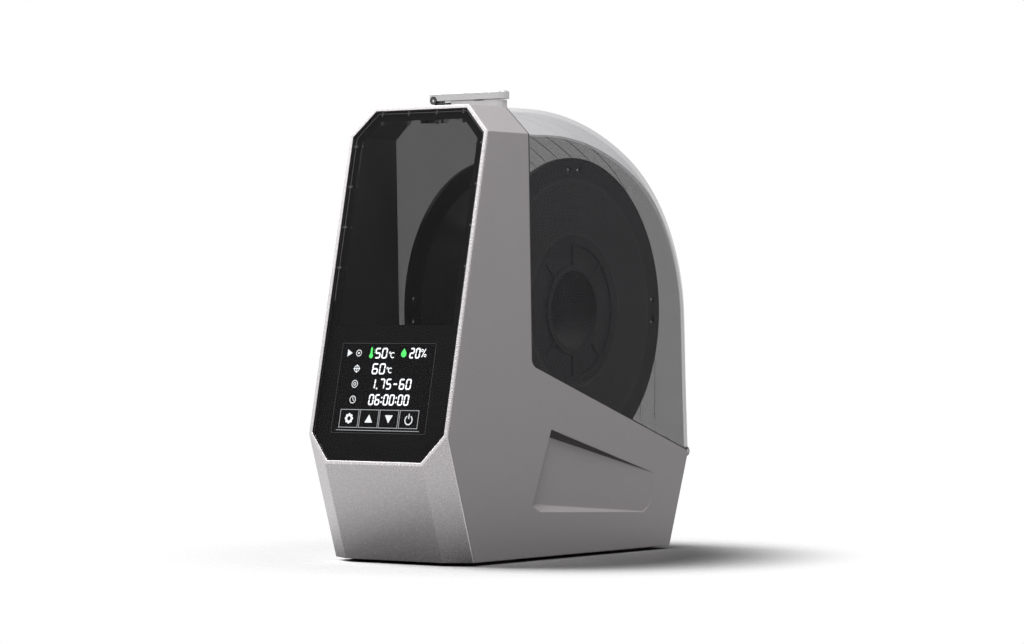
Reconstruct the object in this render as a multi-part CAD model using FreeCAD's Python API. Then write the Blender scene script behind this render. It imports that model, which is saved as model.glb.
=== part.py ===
import FreeCAD, Part
import math
import os

V = FreeCAD.Vector
os.makedirs("parts", exist_ok=True)

# Overall size of the case in millimetres. X is width, Y is depth (front is -Y), Z is up.
body_width = 113.5
body_depth = 289.2
body_top = 300.5
foot_height = 2.0

# Load: one standard one kilogram reel.
spool_radius = 104.0
spool_width = 66.4
spool_bore = 27.0
hub_radius = 45.0
flange_thick = 3.0
wound_radius = 91.6
filament = 1.75

# Wall thicknesses and clearances.
wall = 2.5
bezel_wall = 2.4
lid_wall = 2.4
liner_wall = 2.0
fit_gap = 0.35
slide_gap = 0.15
seam_gap = 1.2
spool_clear = 2.1
touch_gap = 0.3

# Side profile.
lean = 0.22
belt = 65.2
cheek = 84.3
chin_setback = 21.7
chin_half = 39.85
tail = 66.0
tail_setback = 23.3
top_chamfer = 18.2
tail_chamfer = 4.0
crown_run = 170.6
seam_lead = 25.5
seam_rake = 4.6
crown_radius = 215.0
crown_sweep = 30.0
rim = 2.3
rim_depth = 1.6
glass_thick = 2.0
window_sill = 156.0

half = body_width / 2
hinge_barrel = 3.2
front = -(body_depth + hinge_barrel) / 2
rear = front + body_depth
crown_y = rear - crown_run
seam_top_y = crown_y - seam_lead
seam_low_y = seam_top_y + seam_rake
seam_corner = 129.1
hinge_z = tail + 0.8
lid_rib = 0.8
chin_slope = chin_setback / (belt - foot_height)
tail_slope = tail_setback / (tail - foot_height)
lean_angle = math.degrees(math.atan(lean))
floor_top = 56.0
spool_z = floor_top + 6.0 + spool_radius
spool_y = rear - lid_wall - lid_rib - spool_clear - spool_radius
recess_depth = 5.5
liner_half = half - recess_depth - wall - 0.45
liner_inside = liner_half - liner_wall
plate_top = foot_height + wall
front_frame = FreeCAD.Placement(V(0, front, belt), FreeCAD.Rotation(V(1, 0, 0), 90 - lean_angle))


def box(x0, x1, y0, y1, z0, z1):
    return Part.makeBox(x1 - x0, y1 - y0, z1 - z0, V(x0, y0, z0))


def rounded_box(x0, x1, y0, y1, z0, z1, radius):
    block = box(x0, x1, y0, y1, z0, z1)
    upright = [e for e in block.Edges if abs(e.tangentAt(e.FirstParameter).z) > 0.9]
    return block.makeFillet(radius, upright)


def rod_x(radius, x0, x1, y, z):
    return Part.makeCylinder(radius, x1 - x0, V(x0, y, z), V(1, 0, 0))


def rod_y(radius, y0, y1, x, z):
    return Part.makeCylinder(radius, y1 - y0, V(x, y0, z), V(0, 1, 0))


def rod_z(radius, z0, z1, x, y):
    return Part.makeCylinder(radius, z1 - z0, V(x, y, z0))


def side_prism(points, x0, x1):
    ring = [V(x0, y, z) for y, z in points]
    return Part.Face(Part.makePolygon(ring + ring[:1])).extrude(V(x1 - x0, 0, 0))


def across(face, reach):
    return face.translated(V(-reach, 0, 0)).extrude(V(2 * reach, 0, 0))


def mirrored(shape):
    return shape.mirror(V(0, 0, 0), V(1, 0, 0))


def pair(shape):
    return [shape, mirrored(shape)]


def fused(first, others):
    return first.multiFuse(others).removeSplitter()


def placed(shape, frame):
    copy = shape.copy()
    copy.Placement = frame.multiply(copy.Placement)
    return copy


def front_y(z):
    return front + lean * (z - belt)


# Case profile: chin, leaning front, flat top, two tangent arcs, upright back and tucked-in tail.
crown_turn = math.radians(crown_sweep)
back_radius = (rear - crown_y - crown_radius * math.sin(crown_turn)) / (1 - math.sin(crown_turn))
crown_centre = (crown_y, body_top - crown_radius)
back_centre = (crown_y + (crown_radius - back_radius) * math.sin(crown_turn),
               body_top - crown_radius + (crown_radius - back_radius) * math.cos(crown_turn))


def arc_point(centre, radius, turn):
    return V(0, centre[0] + radius * math.sin(turn), centre[1] + radius * math.cos(turn))


def outline(floor):
    chin_foot = V(0, front + (belt - floor) * chin_slope, floor)
    tail_foot = V(0, rear - (tail - floor) * tail_slope, floor)
    belt_point = V(0, front, belt)
    brow = V(0, front_y(body_top), body_top)
    crown = V(0, crown_y, body_top)
    crown_mid = arc_point(crown_centre, crown_radius, crown_turn / 2)
    crown_end = arc_point(crown_centre, crown_radius, crown_turn)
    back_mid = arc_point(back_centre, back_radius, (crown_turn + math.pi / 2) / 2)
    back_end = V(0, rear, back_centre[1])
    tail_point = V(0, rear, tail)
    edges = [Part.makeLine(chin_foot, belt_point), Part.makeLine(belt_point, brow),
             Part.makeLine(brow, crown), Part.Arc(crown, crown_mid, crown_end).toShape(),
             Part.Arc(crown_end, back_mid, back_end).toShape(), Part.makeLine(back_end, tail_point),
             Part.makeLine(tail_point, tail_foot), Part.makeLine(tail_foot, chin_foot)]
    return Part.Face(Part.Wire(edges))


def inset_face(face, inset):
    return face.makeOffset2D(-inset) if inset else face


def beyond(point, normal):
    slab = Part.makeBox(800, 800, 400, V(-400, -400, 0))
    slab.Placement = FreeCAD.Placement(point, FreeCAD.Rotation(V(0, 0, 1), normal))
    return slab


def case_body(inset, floor):
    body = across(inset_face(outline(floor), inset), half - inset)
    top_plane = (V(half - top_chamfer, 0, body_top), V(1, 0, 1).normalize())
    chin_edge = V(0, chin_setback, foot_height - belt)
    chin_point = V(chin_half, front, belt)
    chin_normal = chin_edge.cross(V(half - chin_half, front_y(cheek) - front, cheek - belt))
    chin_normal = chin_normal.normalize()
    if chin_normal.x < 0:
        chin_normal = chin_normal.negative()
    tail_out = V(0, tail - foot_height, -tail_setback).normalize()
    tail_plane = (V(half - tail_chamfer, rear, tail), tail_out.add(V(1, 0, 0)).normalize())
    for point, normal in (top_plane, (chin_point, chin_normal), tail_plane):
        cutter = beyond(point.sub(normal * inset), normal)
        body = body.cut(cutter).cut(mirrored(cutter))
    return body


# The lid narrows its shoulder chamfer along the sweep from the crown to the tail.
def lid_stations():
    crown_length = crown_radius * crown_turn
    back_length = back_radius * (math.pi / 2 - crown_turn)
    drop = back_centre[1] - tail
    total = crown_length + back_length + drop
    up = V(0, 0, 1)
    stations = [(V(0, crown_y - run, body_top), up, 0.0) for run in (70, 35)]
    for step in range(6):
        turn = crown_turn * step / 6
        point = arc_point(crown_centre, crown_radius, turn)
        stations.append((point, V(0, math.sin(turn), math.cos(turn)), crown_radius * turn / total))
    for step in range(9):
        turn = crown_turn + (math.pi / 2 - crown_turn) * step / 9
        run = crown_length + back_radius * (turn - crown_turn)
        point = arc_point(back_centre, back_radius, turn)
        stations.append((point, V(0, math.sin(turn), math.cos(turn)), run / total))
    for step in range(5):
        run = crown_length + back_length + drop * step / 4
        stations.append((V(0, rear, back_centre[1] - drop * step / 4), V(0, 1, 0), run / total))
    stations.append((V(0, rear, tail - 30), V(0, 1, 0), 1.0))
    return stations


def shoulder_cutter(inset):
    sections = []
    for point, normal, share in lid_stations():
        run_in = tail_chamfer + (top_chamfer - tail_chamfer) * (1 - share) ** 1.7
        run_down = tail_chamfer + (top_chamfer - tail_chamfer) * (1 - share ** 1.5)
        upper = point + V(half - run_in, 0, 0)
        lower = point - normal * run_down + V(half, 0, 0)
        along = (lower - upper).normalize()
        outward = (V(run_down, 0, 0) + normal * run_in).normalize()
        upper = upper - outward * inset - along * 18
        lower = lower - outward * inset + along * 18
        corners = [upper, lower, lower + outward * 30, upper + outward * 30, upper]
        sections.append(Part.makePolygon(corners))
    return Part.makeLoft(sections, True, False)


def lid_body(inset):
    body = across(inset_face(outline(0), inset), half - inset)
    cutter = shoulder_cutter(inset)
    return body.cut(cutter).cut(mirrored(cutter))


# Opening for the lid: upright front seam, rounded corner and sloping sill, ending at the hinge line.
sill_slope = (seam_corner - tail) / (rear - seam_low_y)
corner_radius = 7.0


def lid_face():
    top_z = body_top + 30
    corner = V(0, seam_low_y, seam_corner)
    seam_run = (seam_top_y - seam_low_y) / (body_top - seam_corner)
    seam_high = corner + V(0, seam_run, 1) * (top_z - seam_corner)
    far = V(0, rear + 30, seam_corner - sill_slope * (rear + 30 - seam_low_y))
    up = (seam_high - corner).normalize()
    back = (far - corner).normalize()
    half_angle = up.getAngle(back) / 2
    setback = corner_radius / math.tan(half_angle)
    middle = corner + (up + back).normalize() * (corner_radius / math.sin(half_angle) - corner_radius)
    start = corner + up * setback
    end = corner + back * setback
    roof = V(0, rear + 30, top_z)
    edges = [Part.makeLine(seam_high, start), Part.Arc(start, middle, end).toShape(), Part.makeLine(end, far),
             Part.makeLine(far, roof), Part.makeLine(roof, seam_high)]
    return Part.Face(Part.Wire(edges))


def lid_zone(inset):
    return across(inset_face(lid_face(), inset), half + 20)


def front_zone(gap):
    edge = front_y(cheek) + rim_depth + gap
    low = -60
    points = [(front - 60, body_top + 60), (edge + lean * (body_top + 60 - cheek), body_top + 60),
              (edge, cheek), (edge + (cheek - low) * chin_slope, low), (front - 60, low)]
    return side_prism(points, -half - 20, half + 20)


# Shapes laid out on the leaning front: x across, y up the slope, z outwards.
def rise(z):
    return (z - belt) / math.cos(math.atan(lean))


def octagon(inset, depth, height):
    brow_half = half - top_chamfer
    shoulder = rise(body_top - top_chamfer)
    brow = V(brow_half, rise(body_top), 0)
    right = [V(chin_half, 0, 0), V(half, rise(cheek), 0), V(half, shoulder, 0), brow]
    left = [V(-p.x, p.y, 0) for p in reversed(right)]
    face = inset_face(Part.Face(Part.makePolygon(right + left + right[:1])), inset)
    return placed(face.translated(V(0, 0, depth)).extrude(V(0, 0, height - depth)), front_frame)


def front_box(x0, x1, z0, z1, depth, height):
    return placed(box(x0, x1, rise(z0), rise(z1), depth, height), front_frame)


def front_post(radius, x, z, depth, height):
    return placed(rod_z(radius, depth, height, x, rise(z)), front_frame)


parts = {}

# Finger recess in each side, deep at the front and running out flush towards the back.
recess_length = 146.0
recess_back = rear - 44.8
recess_front = recess_back - recess_length


def recess():
    foot = 26.5
    lip = 86.3
    ring = [(recess_front + 21.5, lip), (recess_front, 36.2), (recess_front + 4, 32),
            (recess_back - 10, foot), (recess_back, 52.7)]
    face = Part.Face(Part.makePolygon([V(half, y, z) for y, z in ring + ring[:1]]))
    inner = face.makeOffset2D(-recess_depth).translated(V(-recess_depth, 0, 0))
    outer = face.makeOffset2D(2, 2).translated(V(2, 0, 0))
    dish = Part.makeLoft([outer.OuterWire, inner.OuterWire], True, True)
    slope = [V(half + 3, recess_front - 9, 0), V(half - recess_depth, recess_front - 9, 0),
             V(half, recess_back - 2, 0), V(half + 3, recess_back + 9, 0)]
    wedge = Part.Face(Part.makePolygon(slope + slope[:1])).extrude(V(0, 0, 120))
    return dish.common(wedge)


hinge_lugs = [(half - 16.2, half - 13.1), (half - 6.4, half - 3.3)]
hinge_knuckle = (half - 12.7, half - 6.8)
hinge_pin = 1.5
screw_inset = 6.6
screw_front = 63.6
screw_rear = 40.5
screw_ys = (front + screw_front, (front + rear) / 2, rear - screw_rear)
screw_spots = [(half - screw_inset, y) for y in screw_ys]
boss_radius = 4.0
boss_top = 24.0

inlet_x = 26.0
inlet_z = 33.0
tail_angle = math.degrees(math.atan(tail_slope))
inlet_frame = FreeCAD.Placement(V(inlet_x, rear - (tail - inlet_z) * tail_slope, inlet_z),
                                FreeCAD.Rotation(V(1, 0, 0), -90 - tail_angle))
inlet_wide = 27.4
inlet_high = 20.0


def main_housing():
    dent = recess()
    bump = dent.translated(V(-wall, 0, 0))
    hollow = case_body(wall, -60).cut(bump).cut(mirrored(bump))
    rebate_zone = front_zone(5.0).common(box(-half, half, front - 9, rear, cheek - 12, body_top + 9))
    rebate = case_body(1.3, -60).common(rebate_zone)
    shell = case_body(0, foot_height).cut(dent).cut(mirrored(dent)).cut(hollow)
    shell = shell.cut(front_zone(fit_gap)).cut(rebate).cut(lid_zone(0))
    bosses = []
    for x, y in screw_spots:
        post = rod_z(boss_radius, plate_top + slide_gap, boss_top, x, y)
        web = box(x, half - wall + 0.5, y - 1, y + 1, plate_top + slide_gap, boss_top)
        bosses += pair(post.fuse(web).cut(rod_z(1.6, plate_top, boss_top - 3, x, y)))
    shell = fused(shell, bosses)
    room = rod_x(hinge_barrel + 0.5, hinge_lugs[0][1], hinge_lugs[1][0], rear, hinge_z)
    shell = shell.cut(room).cut(mirrored(room))
    lugs = [lug for x0, x1 in hinge_lugs for lug in pair(rod_x(hinge_barrel, x0, x1, rear, hinge_z))]
    shell = fused(shell, lugs)
    bore = rod_x(hinge_pin + 0.03, hinge_lugs[0][0] - 1, hinge_lugs[1][1] + 1, rear, hinge_z)
    side = inlet_wide / 2 + 0.1
    edge = inlet_high / 2 + 0.1
    cutout = box(-side, side, -edge, edge, -9, 9)
    return shell.cut(bore).cut(mirrored(bore)).cut(placed(cutout, inlet_frame))


parts["main_housing"] = main_housing()


post_x = half - wall - 3.1


def front_bezel():
    skin = case_body(0, foot_height).common(front_zone(0)).cut(case_body(bezel_wall, -60))
    flange = octagon(1.3 + slide_gap, -5, -rim_depth + 0.1).cut(octagon(8, -9, 9))
    inner = half - 8
    tabs = []
    for step in range(4):
        z = body_top - 26 - 27 * step
        tabs += pair(front_box(inner - 2.2, inner + 1, z, z + 1.2, -5, -2.6))
    for x in (11, 33):
        tabs += pair(front_box(x, x + 1.2, body_top - 11, body_top - 7.5, -5, -2.6))
    posts = []
    for z in (90, 142):
        posts += pair(front_post(3, post_x, z, -13, -4.5))
    frame = fused(skin, [flange] + tabs + posts)
    opening = octagon(8, -2.5, 9).cut(fused(tabs[0], tabs[1:]))
    frame = frame.cut(octagon(rim, -rim_depth - 0.7, 9)).cut(opening)
    holes = [hole for z in (90, 142) for hole in pair(front_post(1.25, post_x, z, -14, -6))]
    return frame.cut(fused(holes[0], holes[1:]))


parts["front_bezel"] = front_bezel()
parts["front_window"] = octagon(rim + slide_gap, -glass_thick - 0.2, -0.2)


# Base plate with vents, and what stands on it.
def base_plate():
    side = half - wall - fit_gap
    nose = front + (belt - foot_height) * chin_slope + bezel_wall + 0.6
    heel = rear - tail_setback - wall - 0.6
    cheek_y = nose + 13.5
    ring = [(chin_half - 1.2, nose), (side, cheek_y), (side, heel - 2), (side - 2, heel)]
    ring += [(-x, y) for x, y in reversed(ring)]
    corners = [V(x, y, foot_height) for x, y in ring]
    plate = Part.Face(Part.makePolygon(corners + corners[:1])).extrude(V(0, 0, wall))
    slots = [box(10 + 6 * n, 13 + 6 * n, front + 70, front + 110, 0, 9) for n in range(5)]
    holes = [hole for x, y in screw_spots for hole in pair(rod_z(1.7, 0, 9, x, y))]
    sinks = [sink for x, y in screw_spots for sink in pair(rod_z(3.3, 0, foot_height + 1.4, x, y))]
    posts = [rod_z(2.6, plate_top - 0.5, board_z, x, y) for x, y in board_posts]
    return fused(plate.cut(fused(slots[0], slots[1:] + holes + sinks)), posts)


board_z = 10.0
board_x0 = 6.0
board_x1 = half - 11.0
board_y0 = front + 50.0
board_y1 = front + 158.0
board_posts = [(x, y) for x in (board_x0 + 4, board_x1 - 4) for y in (board_y0 + 4, board_y1 - 4)]
parts["base_plate"] = base_plate()


foot_front = 68.0
foot_rear = 62.2


def rubber_feet():
    pads = []
    for y in (front + foot_front, rear - foot_rear):
        pads += pair(rounded_box(half - 19, half - 10.6, y - 27, y + 27, 0, foot_height, 4))
    return Part.makeCompound(pads)


def screw(x, y):
    shank = rod_z(1.5, foot_height + 0.6, boss_top - 4, x, y)
    head = rod_z(3.0, foot_height + 0.2, foot_height + 1.4, x, y)
    return shank.fuse(head)


parts["rubber_feet"] = rubber_feet()
parts["base_screws"] = Part.makeCompound([s for x, y in screw_spots for s in pair(screw(x, y))])

# Rollers under the reel.
roller_radius = 9.0
roller_length = 14.0
axle_radius = 2.5
bearing_radius = 6.5
bearing_wide = 4.0
roller_x = (spool_width - flange_thick) / 2
bearing_x = roller_x + roller_length / 2 + 1.5
roller_reach = spool_radius + roller_radius + touch_gap
roller_angle = math.radians(33)
roller_z = spool_z - roller_reach * math.cos(roller_angle)
roller_spread = roller_reach * math.sin(roller_angle)
roller_ys = {"front": spool_y - roller_spread, "rear": spool_y + roller_spread}


def roller(y):
    tyre = rod_x(roller_radius, roller_x - roller_length / 2, roller_x + roller_length / 2, y, roller_z)
    rims = [e for e in tyre.Edges if e.Curve.TypeId == "Part::GeomCircle"]
    return tyre.makeChamfer(0.8, rims).cut(rod_x(axle_radius + 0.02, 0, half, y, roller_z))


def bearing(y):
    ring = rod_x(bearing_radius, bearing_x, bearing_x + bearing_wide, y, roller_z)
    return ring.cut(rod_x(axle_radius + 0.02, 0, half, y, roller_z))


axle_end = bearing_x + bearing_wide + 0.2
for name, y in roller_ys.items():
    parts[name + "_axle"] = rod_x(axle_radius, -axle_end, axle_end, y, roller_z)
    parts[name + "_rollers"] = Part.makeCompound(pair(roller(y)))
parts["roller_bearings"] = Part.makeCompound([b for y in roller_ys.values() for b in pair(bearing(y))])

# Chamber liner: a tub with bearing pillars, air slots and a shelf that closes off the display bay.
bulkhead_depth = 27.0
blower_x = -6.0
blower_y = rear - 79.8
intake_radius = 24.0
vent_y = front + 72.0


def liner_ring(inset):
    lip = 3.0
    floor = floor_top - liner_wall + inset
    bulk = bulkhead_depth + inset
    sill = seam_corner - lip - sill_slope * 2
    heel = rear - (tail - floor_top) * tail_slope - wall - 2.2 - inset
    toe = front_y(floor + 14) + bulk
    back_rim = seam_corner - lip - sill_slope * (heel - seam_low_y)
    top = window_sill if not inset else window_sill + 20
    lift = 0 if not inset else 20
    return [(front_y(window_sill) + bulk, top), (toe, floor + 14), (toe + 12, floor), (heel - 3, floor),
            (heel, floor + 3), (heel, back_rim + lift), (seam_low_y + 2, sill + lift), (seam_low_y - 2, top)]


def chamber_liner():
    tub = side_prism(liner_ring(0), -liner_half, liner_half)
    inside = side_prism(liner_ring(liner_wall), -liner_inside, liner_inside)
    ring = liner_ring(0)
    rim_half = half - wall - fit_gap
    ledge_top = [ring[5], ring[6], ring[7], ring[0]]
    ledge = ledge_top + [(y, z - liner_wall) for y, z in reversed(ledge_top)]
    brim = side_prism(ledge, -rim_half, rim_half)
    shelf_front = front_y(window_sill) + 5.4
    shelf = box(-rim_half, rim_half, shelf_front, ring[0][0] + 1, window_sill - liner_wall, window_sill)
    pillars = []
    for y in roller_ys.values():
        post = box(bearing_x, liner_inside + 0.5, y - 9, y + 9, floor_top - 0.5, roller_z)
        pillars += pair(post.fuse(rod_x(9, bearing_x, liner_inside + 0.5, y, roller_z)))
    shell = fused(tub, [brim, shelf]).cut(inside)
    shell = fused(shell, pillars)
    cuts = []
    for y in roller_ys.values():
        cuts += pair(rod_x(bearing_radius + 0.05, bearing_x - 1, bearing_x + bearing_wide, y, roller_z))
        cuts += pair(rod_x(axle_radius + 0.6, bearing_x, axle_end + 0.4, y, roller_z))
    for n in range(7):
        cuts.append(box(-43 + 6 * n, -40 + 6 * n, vent_y - 14, vent_y + 14, 40, floor_top + 4))
    for n in range(-3, 4):
        reach = math.sqrt(intake_radius ** 2 - (6 * n) ** 2) - 2
        x = blower_x + 6 * n
        cuts.append(box(x - 1.5, x + 1.5, blower_y - reach, blower_y + reach, 40, floor_top + 4))
    return shell.cut(fused(cuts[0], cuts[1:]))


parts["chamber_liner"] = chamber_liner()

# Hot air path under the floor: blower, heater duct and heater core.
duct_x0 = -46.0
duct_x1 = -2.0
duct_top = 40.0
duct_back = blower_y - 43.0
blower_radius = 40.0
blower_top = 38.0
floor_under = floor_top - liner_wall
sheet = 1.5


def blower_case():
    drum = rod_z(blower_radius, plate_top, blower_top, blower_x, blower_y)
    spout = box(duct_x0 + 2, duct_x1 - 2, duct_back + 0.2, blower_y, plate_top, blower_top)
    hollow = rod_z(blower_radius - 2, plate_top + 2, blower_top - 2, blower_x, blower_y)
    throat = box(duct_x0 + 4, duct_x1 - 4, duct_back - 5, blower_y, plate_top + 2, blower_top - 2)
    collar = rod_z(intake_radius + 2, blower_top - 1, floor_under, blower_x, blower_y)
    mouth = rod_z(intake_radius, blower_top - 5, floor_top, blower_x, blower_y)
    return fused(drum, [spout, collar]).cut(hollow.fuse(throat)).cut(mouth)


def blower_motor():
    can = rod_z(12, plate_top + 2, plate_top + 13, blower_x, blower_y)
    return can.fuse(rod_z(2, plate_top + 12, plate_top + 22, blower_x, blower_y))


def impeller():
    low = plate_top + 14
    high = blower_top - 4
    hub = rod_z(14, low, low + 2, blower_x, blower_y).fuse(rod_z(6, low, low + 9, blower_x, blower_y))
    dish = rod_z(33, low, low + 2, blower_x, blower_y)
    ring = rod_z(33, high - 1.5, high, blower_x, blower_y).cut(rod_z(27, low, high + 1, blower_x, blower_y))
    blades = []
    for n in range(20):
        blade = box(27.5, 32.5, -0.5, 0.5, low + 1, high - 0.5)
        blade.rotate(V(27.5, 0, 0), V(0, 0, 1), 35)
        blade.rotate(V(0, 0, 0), V(0, 0, 1), 18 * n)
        blades.append(blade.translated(V(blower_x, blower_y, 0)))
    blades = [b.common(rod_z(33, low, high, blower_x, blower_y)) for b in blades]
    return fused(hub, [dish, ring] + blades).cut(rod_z(2.05, 0, 90, blower_x, blower_y))


def duct_ring(inset):
    low = plate_top + inset
    back = vent_y - 18 + inset
    return [(duct_back, low), (duct_back, duct_top - inset), (vent_y + 30 + inset, duct_top - inset),
            (vent_y + 17 - inset, floor_under), (back, floor_under), (back, low)]


def heater_duct():
    shell = side_prism(duct_ring(0), duct_x0, duct_x1)
    return shell.cut(side_prism(duct_ring(sheet), duct_x0 + sheet, duct_x1 - sheet))


def heater_core():
    x0 = duct_x0 + sheet + 0.4
    x1 = duct_x1 - sheet - 0.4
    z0 = plate_top + sheet
    z1 = duct_top - sheet - 0.3
    y0 = vent_y + 38
    y1 = y0 + 24
    bars = [box(x0, x1, y0, y1, z, z + 3) for z in (z0, (z0 + z1) / 2 - 1.5, z1 - 3)]
    count = 12
    pitch = (x1 - x0 - 1) / count
    fins = [box(x0 + pitch * n, x0 + pitch * n + 1, y0 + 1, y1 - 1, z0, z1) for n in range(count + 1)]
    return fused(bars[0], bars[1:] + fins)


parts["blower_case"] = blower_case()
parts["blower_motor"] = blower_motor()
parts["blower_impeller"] = impeller()
parts["heater_duct"] = heater_duct()
parts["heater_core"] = heater_core()

# Electrics: power board, mains inlet, and the display stack behind the window.
board_top = board_z + 1.6


def power_parts():
    x = (board_x0 + board_x1) / 2
    coil = box(x - 14, x + 14, board_y0 + 48, board_y0 + 76, board_top, board_top + 24)
    relay = box(board_x0 + 6, board_x0 + 22, board_y0 + 16, board_y0 + 35, board_top, board_top + 15)
    strip = rounded_box(x - 12, x + 12, board_y1 - 20, board_y1 - 10, board_top, board_top + 12, 1)
    cans = [rod_z(6, board_top, board_top + 25, board_x1 - 10, board_y0 + 18),
            rod_z(6, board_top, board_top + 25, board_x1 - 10, board_y0 + 34)]
    return Part.makeCompound([coil, relay, strip] + cans)


def inlet_section(wide, high, cut, depth, height):
    ring = [V(-wide / 2, -high / 2, 0), V(wide / 2, -high / 2, 0), V(wide / 2, high / 2 - cut, 0),
            V(wide / 2 - cut, high / 2, 0), V(cut - wide / 2, high / 2, 0), V(-wide / 2, high / 2 - cut, 0)]
    face = Part.Face(Part.makePolygon(ring + ring[:1]))
    return face.translated(V(0, 0, depth)).extrude(V(0, 0, height - depth))


def mains_inlet():
    flange = rounded_box(-16, 16, -12.2, 12.2, 0, 2, 2)
    body = box(-inlet_wide / 2, inlet_wide / 2, -inlet_high / 2, inlet_high / 2, -19, 0.5)
    socket = inlet_section(24, 16.5, 4.5, -15.5, 5)
    return placed(fused(flange, [body]).cut(socket), inlet_frame)


def inlet_pins():
    pins = []
    for x, y in ((0, 2.2), (-7, -2.0), (7, -2.0)):
        pins.append(placed(box(x - 1, x + 1, y - 2, y + 2, -15.5, -2.5), inlet_frame))
    return Part.makeCompound(pins)


key_width = 15.5
key_pitch = 17.0
bay_back = -13.0
board_posts_z = (90, 142)


def touch_pads():
    starts = [key_pitch * (n - 1.5) - key_width / 2 for n in range(4)]
    return Part.makeCompound([front_box(x, x + key_width, 89, 101, bay_back, -2.4) for x in starts])


def control_board():
    holes = [h for z in board_posts_z for h in pair(front_post(1.5, post_x, z, bay_back - 5, 0))]
    reach = half - wall - 0.9
    board = front_box(-reach, reach, 80, 150, bay_back - 1.6, bay_back)
    return board.cut(fused(holes[0], holes[1:]))


def board_screw(z):
    shank = front_post(1.2, post_x, z, bay_back - 1.8, -7)
    return shank.fuse(front_post(2.6, post_x, z, bay_back - 3.4, bay_back - 1.6))


parts["power_board"] = box(board_x0, board_x1, board_y0, board_y1, board_z, board_top)
parts["power_parts"] = power_parts()
parts["mains_inlet"] = mains_inlet()
parts["inlet_pins"] = inlet_pins()
parts["control_board"] = control_board()
parts["board_screws"] = Part.makeCompound([s for z in board_posts_z for s in pair(board_screw(z))])
parts["touch_pads"] = touch_pads()
parts["display_module"] = front_box(-38.3, 38.3, 103, 146, bay_back, -2.4)
sensor_depth = -bulkhead_depth * math.cos(math.atan(lean)) - liner_wall
parts["sensor_board"] = front_box(-34, -12, 118, 134, sensor_depth - 1.4, sensor_depth)
parts["sensor_chip"] = front_box(-27, -19, 121, 129, sensor_depth - 4, sensor_depth - 1.4)

# Lid and its hinge.
port_x = 8.0
port_y = seam_top_y + 11.25
bush_radius = 3.2


def lid_shell():
    shell = lid_body(0).cut(lid_body(lid_wall)).common(lid_zone(seam_gap))
    band = inset_face(outline(0), lid_wall - 0.2).cut(inset_face(outline(0), lid_wall + lid_rib))
    window = box(-half, half, seam_top_y + 22, rear + 9, 88, body_top + 9)
    ribs = []
    for n in range(6):
        x = 12.4 * (n - 2.5)
        ribs.append(band.translated(V(x - 3.1, 0, 0)).extrude(V(6.2, 0, 0)).common(window))
    shell = fused(shell, ribs)
    for x0, x1 in hinge_lugs:
        room = rod_x(hinge_barrel + 0.5, x0 - 0.4, x1 + 0.4, rear, hinge_z)
        shell = shell.cut(room).cut(mirrored(room))
    shell = fused(shell, pair(rod_x(hinge_barrel, hinge_knuckle[0], hinge_knuckle[1], rear, hinge_z)))
    bore = rod_x(hinge_pin + 0.06, hinge_lugs[0][0] - 1, hinge_lugs[1][1] + 1, rear, hinge_z)
    port = rod_z(bush_radius + 1, body_top - 9, body_top + 9, port_x, port_y)
    return shell.cut(bore).cut(mirrored(bore)).cut(port)


def lid_seal():
    strip = lid_body(0.3).cut(lid_body(lid_wall - 0.2))
    strip = strip.common(lid_zone(0.1)).cut(lid_zone(seam_gap - 0.25))
    room = rod_x(hinge_barrel + 0.8, hinge_lugs[0][0] - 0.6, hinge_lugs[1][1] + 0.6, rear, hinge_z)
    return strip.cut(room).cut(mirrored(room))


def magnet(y0, y1):
    return box(14, 28, y0, y1, body_top - wall - 6.5, body_top - wall)


parts["lid_shell"] = lid_shell()
parts["lid_seal"] = lid_seal()
hinge_rod = rod_x(hinge_pin, hinge_lugs[0][0], hinge_lugs[1][1], rear, hinge_z)
parts["hinge_pins"] = Part.makeCompound(pair(hinge_rod))
parts["frame_magnets"] = Part.makeCompound(pair(magnet(seam_top_y - 6, seam_top_y - 1)))
lid_edge_y = seam_top_y + seam_gap
lid_magnet = magnet(lid_edge_y + 0.4, lid_edge_y + 5.4).translated(V(0, 0, wall - lid_wall))
parts["lid_magnets"] = Part.makeCompound(pair(lid_magnet))

# Filament outlet on the lid: base, black hinge bracket, flip cap and tube bush.
bar_half = 32.0
bar_front = seam_top_y + 6.5
bar_back = bar_front + 9.5
base_top = body_top + 5.7
bar_bottom = body_top + 6.4
bar_top = body_top + 11.9
pivot_x = -26.8
pivot_z = body_top + 6.7
barrel = 2.6
pivot_pin = 1.0
bracket_x = -14.0
knuckle_y0 = bar_front + 3.3
knuckle_y1 = bar_back - 3.3


def outlet_base():
    block = rounded_box(bracket_x, 30, bar_front + 0.6, bar_back - 0.6, body_top, base_top, 3)
    return block.cut(rod_z(bush_radius, body_top - 1, base_top + 1, port_x, port_y))


def tube_bush():
    return rod_z(bush_radius, body_top, base_top, port_x, port_y).cut(rod_z(2.1, 0, 900, port_x, port_y))


def barrel_ranges():
    return [(bar_front - 0.3, knuckle_y0 - 0.2), (knuckle_y1 + 0.2, bar_back + 0.3)]


def outlet_hinge():
    pieces = [box(pivot_x + 9.5, bracket_x, bar_front + 0.6, bar_back - 0.6, body_top, base_top - 0.4)]
    for y0, y1 in barrel_ranges():
        pieces.append(rod_y(barrel, y0, y1, pivot_x, pivot_z))
        pieces.append(box(pivot_x + 0.8, pivot_x + 10, y0 + 0.9, y1 - 0.9, body_top + 2, base_top - 0.4))
    bracket = fused(pieces[0], pieces[1:])
    return bracket.cut(rod_y(pivot_pin + 0.03, bar_front - 9, bar_back + 9, pivot_x, pivot_z))


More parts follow.
